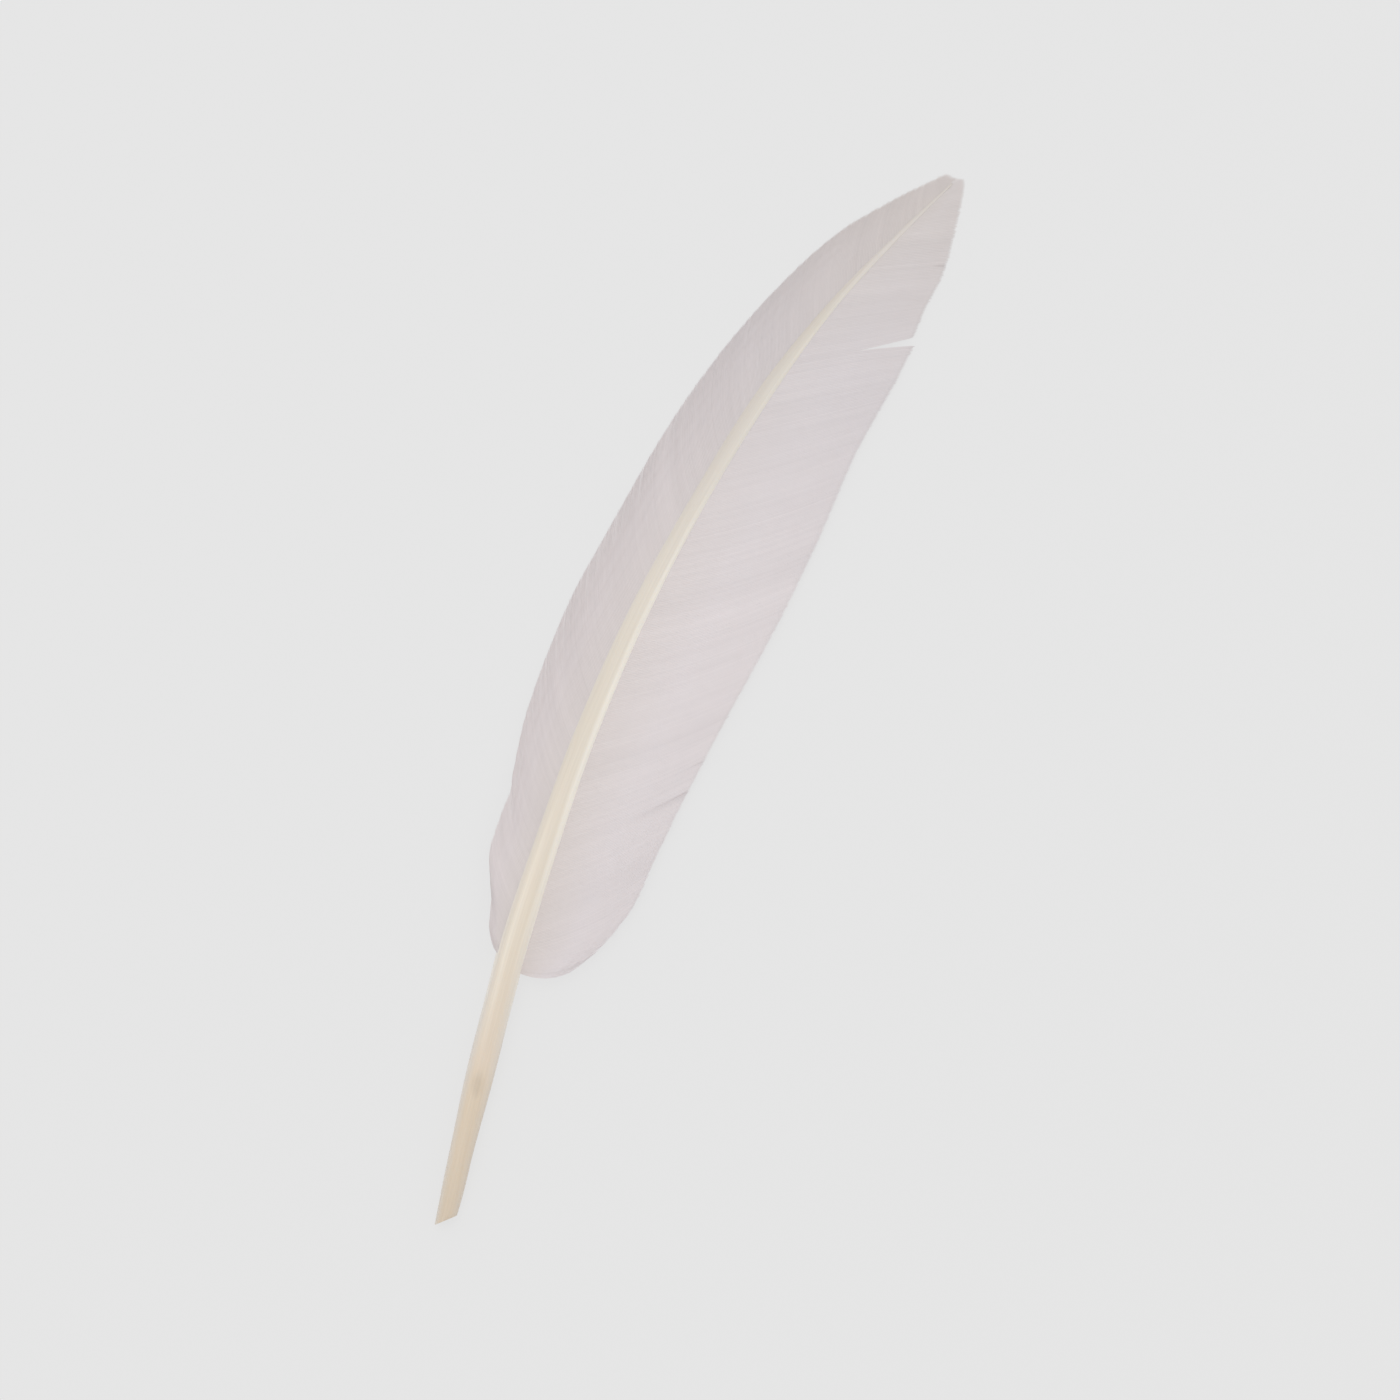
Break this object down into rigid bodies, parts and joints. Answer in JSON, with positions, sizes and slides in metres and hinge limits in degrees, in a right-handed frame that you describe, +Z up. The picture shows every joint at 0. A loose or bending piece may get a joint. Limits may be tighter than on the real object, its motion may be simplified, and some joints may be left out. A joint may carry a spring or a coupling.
{
  "type": "goose quill feather",
  "caption": "Long pale flight feather that lies flat: bowed tapering shaft with a hollow barrel cut at a slant, a narrow leading vane and a wide trailing vane with a split.",
  "frame": {"origin": "on the surface that the feather lies on, under the middle of its footprint", "axes": "+Y from the cut quill to the tip, +Z up through the smooth outer side, +X towards the wide trailing vane"},
  "size_m": [0.0482, 0.2805, 0.0089],
  "materials": {
    "shaft_keratin": "satin",
    "leading_barbs": "matte",
    "trailing_barbs": "matte"
  },
  "bodies": {
    "root": {"shaft": "shaft_keratin", "leading_vane": "leading_barbs", "trailing_vane": "trailing_barbs"}
  },
  "joints": []
}
